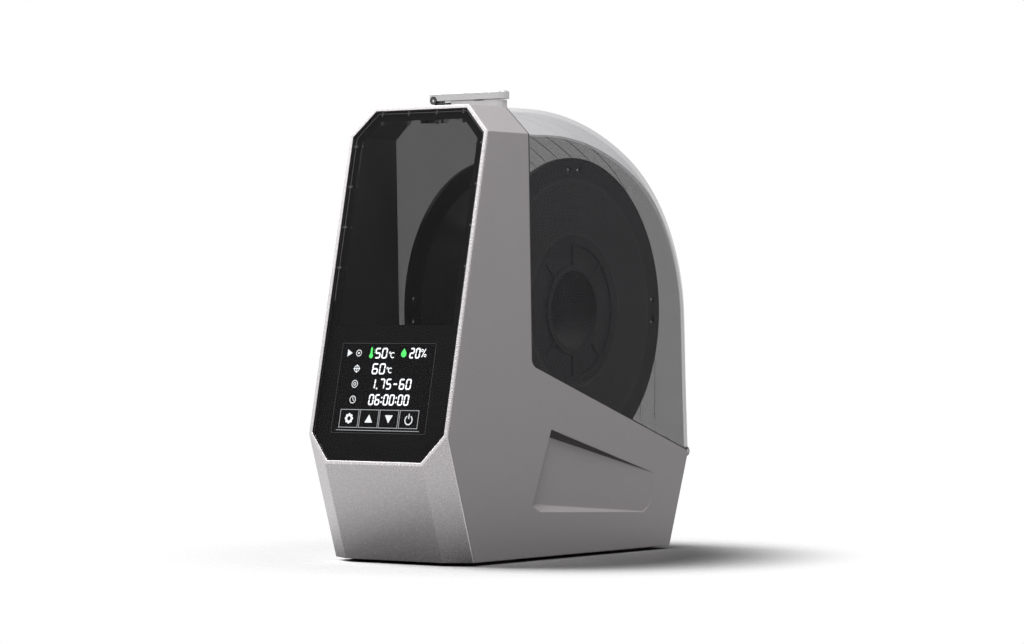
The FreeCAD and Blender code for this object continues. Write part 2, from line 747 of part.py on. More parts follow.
def outlet_cap():
    bar = rounded_box(-bar_half, bar_half, bar_front, bar_back, bar_bottom, bar_top, 4.2)
    crown = [e for e in bar.Edges if e.BoundBox.ZMin > bar_top - 0.01]
    bar = bar.makeChamfer(0.8, crown)
    for y0, y1 in barrel_ranges():
        bar = bar.cut(rod_y(barrel + 0.35, y0 - 1, y1 + 0.2, pivot_x, pivot_z))
    bar = fused(bar, [rod_y(barrel, knuckle_y0, knuckle_y1, pivot_x, pivot_z)])
    bar = bar.cut(rod_y(pivot_pin + 0.05, bar_front - 9, bar_back + 9, pivot_x, pivot_z))
    return bar.cut(rod_z(3.4, bar_bottom - 1, bar_bottom + 1.6, port_x, port_y))


parts["outlet_base"] = outlet_base()
parts["tube_bush"] = tube_bush()
parts["outlet_hinge"] = outlet_hinge()
parts["outlet_pin"] = rod_y(pivot_pin, bar_front, bar_back, pivot_x, pivot_z)
parts["outlet_cap"] = outlet_cap()
parts["cap_pad"] = rod_z(3.3, base_top + 0.3, bar_bottom + 1.6, port_x, port_y)

# Reel in two moulded halves, with the wound filament.
flange_in = spool_width / 2 - flange_thick
flange_out = spool_width / 2


def reel_half():
    disc = rod_x(spool_radius, flange_in, flange_out, spool_y, spool_z)
    hub = rod_x(hub_radius, 0.05, flange_in + 0.5, spool_y, spool_z)
    hollow = rod_x(hub_radius - 2.5, -1, flange_in, spool_y, spool_z)
    dish = rod_x(hub_radius, flange_out - 1.4, flange_out + 1, spool_y, spool_z)
    dish = dish.cut(rod_x(spool_bore + 4, 0, half, spool_y, spool_z))
    reel = disc.fuse(hub).cut(hollow).cut(dish)
    spokes = []
    for n in range(8):
        spoke = box(flange_out - 2, flange_out - 0.3, -0.8, 0.8, spool_bore + 3, hub_radius + 1)
        spoke.rotate(V(0, 0, 0), V(1, 0, 0), 45 * n)
        spokes.append(spoke.translated(V(0, spool_y, spool_z)))
    reel = fused(reel, spokes).cut(rod_x(spool_bore, -1, half, spool_y, spool_z))
    return reel.cut(Part.makeCompound(tie_holes()))


def tie_holes():
    holes = []
    reach = spool_radius - 8
    for n in range(4):
        for sign in (1, -1):
            ring = [V(0, sign * 2, reach), V(0, sign * 8.5, reach + 3.2), V(0, sign * 8.5, reach - 3.2)]
            hole = Part.Face(Part.makePolygon(ring + ring[:1])).extrude(V(half, 0, 0))
            hole.rotate(V(0, 0, 0), V(1, 0, 0), 90 * n)
            holes.append(hole.translated(V(0, spool_y, spool_z)))
    return holes


turn_radius = wound_radius - filament / 2
core_radius = turn_radius - filament / 2 - 0.1
turn_gap = 0.65
winding_span = 2 * flange_in - filament - 1.0
turns = min(24, int(winding_span / (filament + turn_gap)))
pitch = winding_span / turns


def helix_point(turn):
    angle = 2 * math.pi * turn
    along = pitch * turn - winding_span / 2
    offset = V(along, turn_radius * math.cos(angle), turn_radius * math.sin(angle))
    return V(0, spool_y, spool_z) + offset


def helix_tangent(turn):
    angle = 2 * math.pi * turn
    sweep = 2 * math.pi * turn_radius
    return V(pitch, -sweep * math.sin(angle), sweep * math.cos(angle)).normalize()


def tangent_arc(start, corner, end):
    middle = (start + end) * 0.5
    side = (corner - start).Length
    half_chord = (end - start).Length / 2
    inward = middle - corner
    height = inward.Length
    radius = side * half_chord / height
    crest = corner + inward * ((math.sqrt(side ** 2 + radius ** 2) - radius) / height)
    return Part.Arc(start, crest, end).toShape()


def biarc(p0, t0, p1, t1):
    chord = p1 - p0
    a = 2 * (t0.dot(t1) - 1)
    b = -2 * chord.dot(t0 + t1)
    c = chord.dot(chord)
    reach = (-b - math.sqrt(b * b - 4 * a * c)) / (2 * a)
    if reach < 0:
        reach = (-b + math.sqrt(b * b - 4 * a * c)) / (2 * a)
    q0 = p0 + t0 * reach
    q1 = p1 - t1 * reach
    joint = (q0 + q1) * 0.5
    return [tangent_arc(p0, q0, joint), tangent_arc(joint, q1, p1)]


def filament_layer():
    first = helix_point(0)
    last = helix_point(turns)
    edges = [Part.makeLine(first - helix_tangent(0) * filament, first)]
    for n in range(2 * turns):
        a = n / 2
        b = (n + 1) / 2
        edges += biarc(helix_point(a), helix_tangent(a), helix_point(b), helix_tangent(b))
    edges.append(Part.makeLine(last, last + helix_tangent(turns) * filament))
    path = Part.Wire(edges)
    start = first - helix_tangent(0) * filament
    out = V(0, filament / 2, 0)
    side = helix_tangent(0).cross(out)
    corners = [start + out, start + side, start - out, start - side, start + out]
    profile = Part.makePolygon(corners)
    shell = Part.BRepOffsetAPI.MakePipeShell(path)
    shell.add(profile)
    shell.build()
    shell.makeSolid()
    points = [helix_point(n / 48) for n in range(turns * 48 + 1)]
    least = min((points[n + 48] - points[n]).Length for n in range(turns * 48 - 47)) - filament
    print("least gap between turns", round(least, 3))
    return shell.shape()


right_half = reel_half()
parts["reel_right"] = right_half
parts["reel_left"] = mirrored(right_half)
pack = rod_x(core_radius, 0.1 - flange_in, flange_in - 0.1, spool_y, spool_z)
parts["filament_pack"] = pack.cut(rod_x(hub_radius + 0.05, -half, half, spool_y, spool_z))
parts["filament_layer"] = filament_layer()

for name, shape in parts.items():
    if not shape.isValid():
        print("check the shape of", name)
    print(name, shape.ShapeType, len(shape.Solids), round(shape.Volume))
    shape.exportStep("parts/" + name + ".step")
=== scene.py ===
# %% [markdown]
# # A filament dryer box, from CAD frame to finished picture
# The box keeps one reel of filament warm and dry. Its solids arrive ready made as a fixed frame, so this
# lesson is about looks: camera, light, finishes, and the thin prints and wound filament that CAD leaves
# plain. The frame is loaded first, because every later piece takes its place from it.

# %% Load the frame
import math

import bmesh
import bpy
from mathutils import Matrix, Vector


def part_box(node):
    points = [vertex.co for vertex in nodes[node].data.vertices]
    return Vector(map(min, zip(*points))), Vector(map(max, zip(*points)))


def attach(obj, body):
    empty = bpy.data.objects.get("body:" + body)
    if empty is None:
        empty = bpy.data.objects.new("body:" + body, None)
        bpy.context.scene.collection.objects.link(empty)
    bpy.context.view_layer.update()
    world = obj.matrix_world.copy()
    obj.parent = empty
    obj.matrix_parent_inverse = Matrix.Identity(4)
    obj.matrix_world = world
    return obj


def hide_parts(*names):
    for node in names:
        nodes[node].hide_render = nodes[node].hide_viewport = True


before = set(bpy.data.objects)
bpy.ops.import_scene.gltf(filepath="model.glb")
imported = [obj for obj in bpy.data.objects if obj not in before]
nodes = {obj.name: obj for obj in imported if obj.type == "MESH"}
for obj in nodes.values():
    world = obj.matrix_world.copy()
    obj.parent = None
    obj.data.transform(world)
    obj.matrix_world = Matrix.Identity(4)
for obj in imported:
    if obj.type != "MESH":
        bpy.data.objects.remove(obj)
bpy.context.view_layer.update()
scene = bpy.context.scene

# %% [markdown]
# ## Camera
# The picture was taken from the front right, level with the middle of the box, through a long lens. A long
# lens keeps the upright edges nearly parallel. The camera could follow a target object, but it is aimed by
# turning it about Z, so its horizon stays level.

# %% Camera
PICTURE_WIDTH = 1024
FOCAL_PIXELS = 3603.5
SENSOR_WIDTH = 36
FAR_LIMIT = 50
CAMERA_PLACE = (1.45133, -1.98100, 0.16009)
YAW = 0.63063
PITCH = -0.00089
camera_data = bpy.data.cameras.new("camera")
camera_data.sensor_width = SENSOR_WIDTH
camera_data.lens = FOCAL_PIXELS / PICTURE_WIDTH * SENSOR_WIDTH
camera_data.clip_end = FAR_LIMIT
camera = bpy.data.objects.new("camera", camera_data)
camera.location = CAMERA_PLACE
camera.rotation_euler = (math.pi / 2 + PITCH, 0, YAW)
scene.collection.objects.link(camera)
scene.camera = camera
print("lens", round(camera_data.lens, 1), "mm")

# %% [markdown]
# ## White surround
# A product picture on white needs a bright surround that does not bleach the product. A strongly lit white
# wall would do, but its light would fall on the box too. So the world is white only to the camera, to
# mirror-like rays and to rays through glass. For lighting it is much dimmer.

# %% White surround
LIGHT_LEVEL = 0.085


def node(tree, kind, **settings):
    made = tree.nodes.new(kind)
    for name, value in settings.items():
        setattr(made, name, value)
    return made


def make_world():
    world = bpy.data.worlds.new("studio")
    scene.world = world
    world.use_nodes = True
    tree = world.node_tree
    tree.nodes.clear()
    path = node(tree, "ShaderNodeLightPath")
    seen = node(tree, "ShaderNodeMath", operation="MAXIMUM")
    seen_all = node(tree, "ShaderNodeMath", operation="MAXIMUM")
    strength = node(tree, "ShaderNodeMapRange")
    strength.inputs["To Min"].default_value = LIGHT_LEVEL
    strength.inputs["To Max"].default_value = 1.0
    back = node(tree, "ShaderNodeBackground")
    back.inputs["Color"].default_value = (1, 1, 1, 1)
    out = node(tree, "ShaderNodeOutputWorld")
    link = tree.links.new
    link(path.outputs["Is Camera Ray"], seen.inputs[0])
    link(path.outputs["Is Transmission Ray"], seen.inputs[1])
    link(seen.outputs[0], seen_all.inputs[0])
    link(path.outputs["Is Glossy Ray"], seen_all.inputs[1])
    link(seen_all.outputs[0], strength.inputs["Value"])
    link(strength.outputs["Result"], back.inputs["Strength"])
    link(back.outputs[0], out.inputs["Surface"])


make_world()
scene.view_settings.view_transform = "Standard"
print("world:", scene.world.name, "at", LIGHT_LEVEL)

# %% [markdown]
# ## Floor
# The floor shows the object's shadow and fades out into the white with distance, so that no horizon line
# cuts across the picture. A curved paper sweep would hide the line too, but a flat disc that turns clear is
# simpler. Photographers lay a dark card close to a silvery product to shade its lower faces. Here the floor
# itself does that with painted shade: to every ray but the camera's it is dark near the box, most of all on
# its right, and white further out.

# %% Floor
FLOOR_RADIUS = 6
FLOOR_DROP = 0.0002
FLOOR_TONE = 0.92
FADE_START, FADE_END = 0.12, 0.25
# The floor's colour for bounced light is painted shade: dark round this centre, pale further out.
FLOOR_SHADE_CENTRE = (0.07, -0.03, 0)
FLOOR_SHADE_START, FLOOR_SHADE_END = 0.15, 0.27
FLOOR_SHADE_TONE = 0.14


def floor_finish():
    material = bpy.data.materials.new("pale_floor")
    material.use_nodes = True
    tree = material.node_tree
    tree.nodes.clear()
    place = node(tree, "ShaderNodeTexCoord")
    length = node(tree, "ShaderNodeVectorMath", operation="LENGTH")
    fade = node(tree, "ShaderNodeMapRange", interpolation_type="SMOOTHSTEP")
    fade.inputs["From Min"].default_value = FADE_START
    fade.inputs["From Max"].default_value = FADE_END
    pale = node(tree, "ShaderNodeBsdfDiffuse")
    pale.inputs["Color"].default_value = (FLOOR_TONE, FLOOR_TONE, FLOOR_TONE, 1)
    offset = node(tree, "ShaderNodeVectorMath", operation="SUBTRACT")
    offset.inputs[1].default_value = FLOOR_SHADE_CENTRE
    reach = node(tree, "ShaderNodeVectorMath", operation="LENGTH")
    # Painted shade in the bounce colour, darkest near the box.
    bounce = node(tree, "ShaderNodeMapRange")
    bounce.inputs["From Min"].default_value = FLOOR_SHADE_START
    bounce.inputs["From Max"].default_value = FLOOR_SHADE_END
    bounce.inputs["To Min"].default_value = FLOOR_SHADE_TONE
    bounce.inputs["To Max"].default_value = 1.0
    bounce_shade = node(tree, "ShaderNodeBsdfDiffuse")
    clear = node(tree, "ShaderNodeBsdfTransparent")
    path = node(tree, "ShaderNodeLightPath")
    sight = node(tree, "ShaderNodeMixShader")
    mix = node(tree, "ShaderNodeMixShader")
    out = node(tree, "ShaderNodeOutputMaterial")
    link = tree.links.new
    link(place.outputs["Object"], length.inputs[0])
    link(length.outputs["Value"], fade.inputs["Value"])
    link(place.outputs["Object"], offset.inputs[0])
    link(offset.outputs["Vector"], reach.inputs[0])
    link(reach.outputs["Value"], bounce.inputs["Value"])
    link(bounce.outputs["Result"], bounce_shade.inputs["Color"])
    link(path.outputs["Is Camera Ray"], sight.inputs[0])
    link(bounce_shade.outputs[0], sight.inputs[1])
    link(pale.outputs[0], sight.inputs[2])
    link(fade.outputs["Result"], mix.inputs[0])
    link(sight.outputs[0], mix.inputs[1])
    link(clear.outputs[0], mix.inputs[2])
    link(mix.outputs[0], out.inputs["Surface"])
    return material


bpy.ops.mesh.primitive_circle_add(
    vertices=96, radius=FLOOR_RADIUS, fill_type="NGON", location=(0, 0, -FLOOR_DROP))
floor = bpy.context.object
floor.name = "floor"
floor.data.materials.append(floor_finish())
print("floor:", 2 * FLOOR_RADIUS, "m across")

# %% [markdown]
# ## Lamps
# Two soft lamps do the lighting, as in a small studio. Area lamps give the wide, soft highlights of a
# softbox, which a point lamp can't. The key from the left throws the shadow. The overhead lamp models the
# upper faces but spares the floor, by light linking, so that it does not wash the shadow out.

# %% Lamps


def softbox(name, place, aim, side, watts):
    lamp = bpy.data.lights.new(name, "AREA")
    lamp.shape = "RECTANGLE"
    lamp.size, lamp.size_y = side, side
    lamp.energy = watts
    box = bpy.data.objects.new(name, lamp)
    box.location = place
    box.rotation_euler = (Vector(aim) - Vector(place)).to_track_quat("-Z", "Y").to_euler()
    scene.collection.objects.link(box)
    return box


def spare(lamp, thing):
    spared = bpy.data.collections.new("spared_by_" + lamp.name)
    spared.objects.link(thing)
    spared.collection_objects[0].light_linking.link_state = "EXCLUDE"
    lamp.light_linking.receiver_collection = spared


softbox("key", place=(-2.3, -0.8, 2.1), aim=(0, 0, 0.15), side=1.9, watts=135)
overhead = softbox("overhead", place=(0.42, -0.48, 1.35), aim=(0.1, 0, 0.15), side=0.9, watts=31)
spare(overhead, floor)

# %% [markdown]
# ## A shared grain
# Nearly every plastic here has the fine grain of a textured mould or of a sprayed metallic coat. Each finish
# could have noise of its own, but one node group keeps them alike. It makes the grain from two sizes of
# noise, and each finish places it with its own size and contrast.

# %% Grain group
GRAIN_INPUTS = {"Size": 2200.0, "Cloud": 18.0, "Contrast": 0.1}
CLOUD_SHARE = 0.08
NOISE_LOW, NOISE_HIGH = 0.3, 0.7


def make_grain_group():
    group = bpy.data.node_groups.new("mould_grain", "ShaderNodeTree")
    for label, value in GRAIN_INPUTS.items():
        socket = group.interface.new_socket(name=label, in_out="INPUT", socket_type="NodeSocketFloat")
        socket.default_value = value
    for label in ("Tone", "Height"):
        group.interface.new_socket(name=label, in_out="OUTPUT", socket_type="NodeSocketFloat")
    entry = node(group, "NodeGroupInput")
    leave = node(group, "NodeGroupOutput")
    place = node(group, "ShaderNodeTexCoord")
    fine = node(group, "ShaderNodeTexNoise")
    fine.inputs["Detail"].default_value = 2.0
    cloud = node(group, "ShaderNodeTexNoise")
    cloud.inputs["Detail"].default_value = 3.0
    both = node(group, "ShaderNodeMix", data_type="FLOAT")
    both.inputs["Factor"].default_value = CLOUD_SHARE
    low = node(group, "ShaderNodeMath", operation="SUBTRACT")
    low.inputs[0].default_value = 1.0
    high = node(group, "ShaderNodeMath", operation="ADD")
    high.inputs[0].default_value = 1.0
    spread = node(group, "ShaderNodeMapRange")
    spread.inputs["From Min"].default_value = NOISE_LOW
    spread.inputs["From Max"].default_value = NOISE_HIGH
    link = group.links.new
    link(place.outputs["Object"], fine.inputs["Vector"])
    link(place.outputs["Object"], cloud.inputs["Vector"])
    link(entry.outputs["Size"], fine.inputs["Scale"])
    link(entry.outputs["Cloud"], cloud.inputs["Scale"])
    link(fine.outputs["Fac"], both.inputs["A"])
    link(cloud.outputs["Fac"], both.inputs["B"])
    link(entry.outputs["Contrast"], low.inputs[1])
    link(entry.outputs["Contrast"], high.inputs[1])
    link(both.outputs["Result"], spread.inputs["Value"])
    link(low.outputs[0], spread.inputs["To Min"])
    link(high.outputs[0], spread.inputs["To Max"])
    link(spread.outputs["Result"], leave.inputs["Tone"])
    link(fine.outputs["Fac"], leave.inputs["Height"])
    return group


grain_group = make_grain_group()
print("group sockets:", [socket.name for socket in grain_group.interface.items_tree])

# %% [markdown]
# ## Moulded and metal finishes
# The case is plastic with a sprayed metallic coat, and the small parts are bare plastic, rubber or metal. All
# are one kind of Principled shader. Its colour and roughness are multiplied by the grain's tone, and the
# grain's height drives a very shallow bump. What does not change over a surface, such as metalness, is set
# straight on the shader. A moulded edge is never quite sharp, so a finish can also round its edges by a
# bevel in the shading, which leaves the CAD mesh as it is.

# %% Finish maker


def finish(name, colour, roughness, metallic=0.0, size=2200.0, contrast=0.1, bump=0.00002, edge=0.0):
    material = bpy.data.materials.new(name)
    material.use_nodes = True
    tree = material.node_tree
    shader = tree.nodes["Principled BSDF"]
    shader.inputs["Metallic"].default_value = metallic
    grain = node(tree, "ShaderNodeGroup", node_tree=grain_group)
    grain.inputs["Size"].default_value = size
    grain.inputs["Contrast"].default_value = contrast
    paint = node(tree, "ShaderNodeMix", data_type="RGBA", blend_type="MULTIPLY")
    paint.inputs["Factor"].default_value = 1.0
    paint.inputs["A"].default_value = (*colour, 1)
    rough = node(tree, "ShaderNodeMath", operation="MULTIPLY")
    rough.inputs[1].default_value = roughness
    relief = node(tree, "ShaderNodeBump")
    relief.inputs["Strength"].default_value = 0.6
    relief.inputs["Distance"].default_value = bump
    link = tree.links.new
    if edge:
        soft = node(tree, "ShaderNodeBevel", samples=4)
        soft.inputs["Radius"].default_value = edge
        link(soft.outputs["Normal"], relief.inputs["Normal"])
    link(grain.outputs["Tone"], paint.inputs["B"])
    link(grain.outputs["Tone"], rough.inputs[0])
    link(grain.outputs["Height"], relief.inputs["Height"])
    link(paint.outputs["Result"], shader.inputs["Base Color"])
    link(rough.outputs[0], shader.inputs["Roughness"])
    link(relief.outputs["Normal"], shader.inputs["Normal"])
    return material


case_grey = finish(
    "case_grey", (0.280, 0.264, 0.272), 0.45, metallic=0.35, size=1900, contrast=0.12, edge=0.0007)
trim_silver = finish(
    "trim_silver", (0.550, 0.529, 0.539), 0.26, metallic=0.7, size=1900, contrast=0.12, edge=0.0006)
cap_silver = finish("cap_silver", (0.44, 0.433, 0.436), 0.32, metallic=0.6, contrast=0.15, edge=0.0005)
print("nodes in a finish:", len(case_grey.node_tree.nodes))

# %% [markdown]
# ## Smoked panes
# The front window and the lid are smoked acrylic. Real glass shading with two refracting faces is slow and
# noisy behind a thin shell, so the panes are partly clear dark surfaces with a weak reflection. A faint,
# wide smear from the shared grain varies their tint. The crown of the lid looks pale because it faces the
# light above, so that finish has a painted highlight: it grows paler and denser where the surface turns
# upward.

# %% Smoked panes
SKY_START, SKY_FULL = 0.12, 0.5


def polish(name, colour, roughness, alpha, reflection):
    material = bpy.data.materials.new(name)
    material.use_nodes = True
    tree = material.node_tree
    shader = tree.nodes["Principled BSDF"]
    shader.inputs["Alpha"].default_value = alpha
    shader.inputs["Specular IOR Level"].default_value = reflection
    smear = node(tree, "ShaderNodeGroup", node_tree=grain_group)
    smear.inputs["Size"].default_value = 35.0
    smear.inputs["Contrast"].default_value = 0.25
    tint = node(tree, "ShaderNodeMix", data_type="RGBA", blend_type="MULTIPLY")
    tint.inputs["Factor"].default_value = 0.4
    tint.inputs["A"].default_value = (*colour, 1)
    rough = node(tree, "ShaderNodeMath", operation="MULTIPLY")
    rough.inputs[1].default_value = roughness
    link = tree.links.new
    link(smear.outputs["Tone"], tint.inputs["B"])
    link(smear.outputs["Tone"], rough.inputs[0])
    link(tint.outputs["Result"], shader.inputs["Base Color"])
    link(rough.outputs[0], shader.inputs["Roughness"])
    return material


# Painted highlight: colour and alpha turn paler and denser on upward faces, where the light above falls.
def paint_top_light(material, pale, lit_alpha):
    tree = material.node_tree
    shader = tree.nodes["Principled BSDF"]
    tinted = shader.inputs["Base Color"].links[0].from_socket
    place = node(tree, "ShaderNodeTexCoord")
    split = node(tree, "ShaderNodeSeparateXYZ")
    upward = node(tree, "ShaderNodeMapRange", interpolation_type="SMOOTHSTEP")
    upward.inputs["From Min"].default_value = SKY_START
    upward.inputs["From Max"].default_value = SKY_FULL
    top_light_paint = node(tree, "ShaderNodeMix", data_type="RGBA")
    top_light_paint.inputs["B"].default_value = (*pale, 1)
    body = node(tree, "ShaderNodeMapRange")
    body.inputs["To Min"].default_value = shader.inputs["Alpha"].default_value
    body.inputs["To Max"].default_value = lit_alpha
    link = tree.links.new
    link(place.outputs["Normal"], split.inputs[0])
    link(split.outputs["Z"], upward.inputs["Value"])
    link(upward.outputs["Result"], top_light_paint.inputs["Factor"])
    link(upward.outputs["Result"], body.inputs["Value"])
    link(tinted, top_light_paint.inputs["A"])
    link(top_light_paint.outputs["Result"], shader.inputs["Base Color"])
    link(body.outputs["Result"], shader.inputs["Alpha"])


smoked_front = polish("smoked_front", (0.0075, 0.007, 0.0075), 0.05, alpha=0.53, reflection=0.07)
smoked_lid = polish("smoked_lid", (0.043, 0.041, 0.046), 0.12, alpha=0.37, reflection=0.06)
paint_top_light(smoked_lid, pale=(0.40, 0.395, 0.41), lit_alpha=0.58)
print("panes:", smoked_front.name, "and", smoked_lid.name)

# %% [markdown]
# ## Dressing the CAD pieces
# Every solid of the frame gets the finish of what it is made of, the ones inside the base too, because they
# come into sight when someone opens the part. Rubber is rough, bearings and pins are ground steel, and the
# boards are green. One list pairs each finish with its pieces, so that a finish is changed in one place.

# %% Dressing the CAD pieces
black_moulding = finish("black_moulding", (0.018, 0.018, 0.019), 0.45)
liner_black = finish("liner_black", (0.030, 0.029, 0.031), 0.5, size=1400)
soft_black = finish("soft_black", (0.012, 0.012, 0.012), 0.75, size=900, contrast=0.2)
ground_steel = finish("ground_steel", (0.56, 0.56, 0.58), 0.28, metallic=1.0, size=600)
bare_aluminium = finish("bare_aluminium", (0.72, 0.72, 0.73), 0.35, metallic=1.0, size=700)
plated_brass = finish("plated_brass", (0.70, 0.55, 0.28), 0.3, metallic=1.0, size=700)
board_green = finish("board_green", (0.02, 0.10, 0.05), 0.4, size=500, contrast=0.25)
chip_black = finish("chip_black", (0.03, 0.03, 0.033), 0.4, size=900)
reel_black = finish("reel_black", (0.010, 0.010, 0.011), 0.50, size=1600)

DRESSING = (
    (case_grey, ("main_housing",)),
    (trim_silver, ("front_bezel",)),
    (cap_silver, ("outlet_base", "outlet_cap")),
    (black_moulding, ("mains_inlet", "outlet_hinge", "tube_bush", "blower_case", "blower_impeller")),
    (liner_black, ("chamber_liner", "base_plate")),
    (soft_black, ("rubber_feet", "lid_seal", "cap_pad", "front_rollers", "rear_rollers", "touch_pads")),
    (ground_steel, ("base_screws", "roller_bearings", "blower_motor", "board_screws", "hinge_pins")),
    (ground_steel, ("outlet_pin", "front_axle", "rear_axle", "frame_magnets", "lid_magnets")),
    (bare_aluminium, ("heater_duct", "heater_core")),
    (board_green, ("power_board", "control_board", "sensor_board")),
    (chip_black, ("power_parts", "sensor_chip", "display_module")),
    (plated_brass, ("inlet_pins",)),
    (smoked_front, ("front_window",)),
    (smoked_lid, ("lid_shell",)),
    (reel_black, ("reel_left", "reel_right", "filament_layer")),
)


def wear(node_name, material):
    slots = nodes[node_name].data.materials
    slots.clear()
    slots.append(material)


for material, names in DRESSING:
    for name in names:
        wear(name, material)
print("dressed:", sum(len(names) for _, names in DRESSING), "pieces")

# %% [markdown]
# ## Wound filament
# A full reel shows the top layer of a long, even winding: one strand of round plastic laid turn against
# turn. A ring of vertices is swept along a helix between the two flanges. The strand is a mesh, because a
# few thousand plain quads are quicker to draw than a beveled curve and give an exact strand thickness.

# %% Winding
MM = 0.001
STRAND = 1.75 * MM
LAY = 1.80 * MM
FREE_PLAY = 0.05 * MM
STEPS = 72
SIDES = 8
low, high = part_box("filament_layer")
axle_y, axle_z = (low[1] + high[1]) / 2, (low[2] + high[2]) / 2
lay_radius = (high[2] - low[2]) / 2 - STRAND / 2 - FREE_PLAY
lay_start, lay_end = low[0] + STRAND / 2 + FREE_PLAY, high[0] - STRAND / 2 - FREE_PLAY


def solid(name, mesh, material):
    bmesh.ops.recalc_face_normals(mesh, faces=mesh.faces)
    data = bpy.data.meshes.new(name)
    mesh.to_mesh(data)
    mesh.free()
    data.materials.append(material)
    made = bpy.data.objects.new(name, data)
    scene.collection.objects.link(made)
    return made


def strand_ring(mesh, step):
    turn = 2 * math.pi * step / STEPS
    out = Vector((0, math.cos(turn), math.sin(turn)))
    centre = Vector((lay_start + LAY * step / STEPS, axle_y, axle_z)) + out * lay_radius
    ring = []
    for side in range(SIDES):
        angle = 2 * math.pi * side / SIDES
        across = Vector((math.sin(angle), 0, 0)) + out * math.cos(angle)
        ring.append(mesh.verts.new(centre + across * STRAND / 2))
    return ring


def make_winding(material):
    mesh = bmesh.new()
    before = strand_ring(mesh, 0)
    mesh.faces.new(before[::-1])
    for step in range(1, int((lay_end - lay_start) / LAY * STEPS) + 1):
        ring = strand_ring(mesh, step)
        for side in range(SIDES):
            follow = (side + 1) % SIDES
            mesh.faces.new((before[side], before[follow], ring[follow], ring[side]))
        before = ring
    mesh.faces.new(before)
    made = solid("winding", mesh, material)
    for face in made.data.polygons:
        face.use_smooth = True
    return made


filament_black = finish("filament_black", (0.10, 0.10, 0.104), 0.22, size=400, contrast=0.2)
wear("filament_pack", filament_black)
winding = make_winding(filament_black)
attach(winding, "spool")
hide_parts("filament_layer")
print("winding:", round((lay_end - lay_start) / LAY, 1), "turns")

# %% [markdown]
# ## Reel labels
# Each flange carries a paper ring round its hub. A texture on the flange could show it, but on a dark reel
# it shows mainly as a change of sheen and a fine edge. So it is a very thin ring with its own satin finish.
# It is left plain but for two fine rules, one near each edge.

# %% Reel labels
LABEL_INNER, LABEL_OUTER = 51.0, 90.5
RULES = ((52.4, 52.8), (88.6, 89.0))
LABEL_THICK = 0.12 * MM
RULE_THICK = 0.03 * MM
LABEL_STEPS = 128


def flat_ring(name, face, thick, inner, outer, material):
    mesh = bmesh.new()
    corners = ((face, inner), (face, outer), (face + thick, outer), (face + thick, inner))
    turns = [2 * math.pi * n / LABEL_STEPS for n in range(LABEL_STEPS)]
    rings = []
    for x, radius in corners:
        reach = radius * MM
        around = [(axle_y + reach * math.cos(t), axle_z + reach * math.sin(t)) for t in turns]
        rings.append([mesh.verts.new((x, y, z)) for y, z in around])
    for here, there in zip(rings, rings[1:] + rings[:1]):
        for n in range(LABEL_STEPS):
            m = (n + 1) % LABEL_STEPS
            mesh.faces.new((here[n], here[m], there[m], there[n]))
    ring = solid(name, mesh, material)
    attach(ring, "spool")
    return ring


label_paper = finish("label_paper", (0.017, 0.017, 0.018), 0.33, size=2600, contrast=0.2)
label_ink = finish("label_ink", (0.075, 0.075, 0.078), 0.5, size=2600, contrast=0.15)
for side, reel in ((1, "reel_right"), (-1, "reel_left")):
    flange = max(abs(corner[0]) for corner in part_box(reel)) * side
    paper = flange + LABEL_THICK * side
    flat_ring("label_" + reel, flange, LABEL_THICK * side, LABEL_INNER, LABEL_OUTER, label_paper)
    for n, (inner, outer) in enumerate(RULES):
        flat_ring(f"rule_{n}_{reel}", paper, RULE_THICK * side, inner, outer, label_ink)
print("label from", LABEL_INNER, "to", LABEL_OUTER, "mm")

# %% [markdown]
# ## Seam of the lid
# The lid closes against the front frame with a narrow rubber seal, which shows as one dark line over the
# shoulders: the black seal, and shade in the narrow gap. The seal's own solid lies a little below the
# surface, and a painted line would need the lid's mesh cut. So a thin black lip is swept over the seal, just
# under the outer faces: partly the seal's own black, partly painted shade of the gap. It follows the frame's
# outline: up one side, over both shoulder chamfers and down the other side. Sizes from here on are in
# millimetres.

# %% Seam lip
HALF, TOP, SHOULDER = 56.75, 300.5, 18.2
SEAM_FOOT, SEAM_FOOT_Y, SEAM_RISE = 134.5, -48.64, -0.02684
LIP_NEAR, LIP_FAR = 0.12, 1.08
LIP_OUT, LIP_IN = 0.05, 0.28


def both_sides(right):
    return right + [(-x, z) for x, z in reversed(right)]


def shoulder_run(inset):
    return SHOULDER + inset * (math.sqrt(2) - 1)


def shoulder_outline(inset, foot):
    side, corner = HALF - inset, shoulder_run(inset)
    return both_sides([(side, foot), (side, TOP - corner), (HALF - corner, TOP - inset)])


# Partly the seal's black, partly painted shade in the gap between lid and frame.
def seal_and_gap_shade():
    mesh = bmesh.new()
    rails = []
    for inset, shift in ((LIP_OUT, LIP_NEAR), (LIP_OUT, LIP_FAR), (LIP_IN, LIP_FAR), (LIP_IN, LIP_NEAR)):
        outline = shoulder_outline(inset, SEAM_FOOT)
        rail = [(x, SEAM_FOOT_Y + SEAM_RISE * (z - SEAM_FOOT) + shift, z) for x, z in outline]
        rails.append([mesh.verts.new(Vector(point) * MM) for point in rail])
    for here, there in zip(rails, rails[1:] + rails[:1]):
        for n in range(len(here) - 1):
            mesh.faces.new((here[n], here[n + 1], there[n + 1], there[n]))
    mesh.faces.new([rail[0] for rail in rails])
    mesh.faces.new([rail[-1] for rail in rails])
    lip = solid("seal_and_gap_shade", mesh, soft_black)
    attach(lip, "lid")
    return lip


print("seam lip corners:", len(seal_and_gap_shade().data.vertices))

# %% [markdown]
# ## The plane of the front
# The front leans back, and everything behind its window is laid out on that one sloping plane. A helper turns
# a place across and up, and a depth behind the bezel's face, into a point in the frame. Prints and lit signs
# could be drawn in a texture. They are cut as thin plates, so that they stay sharp at any size.

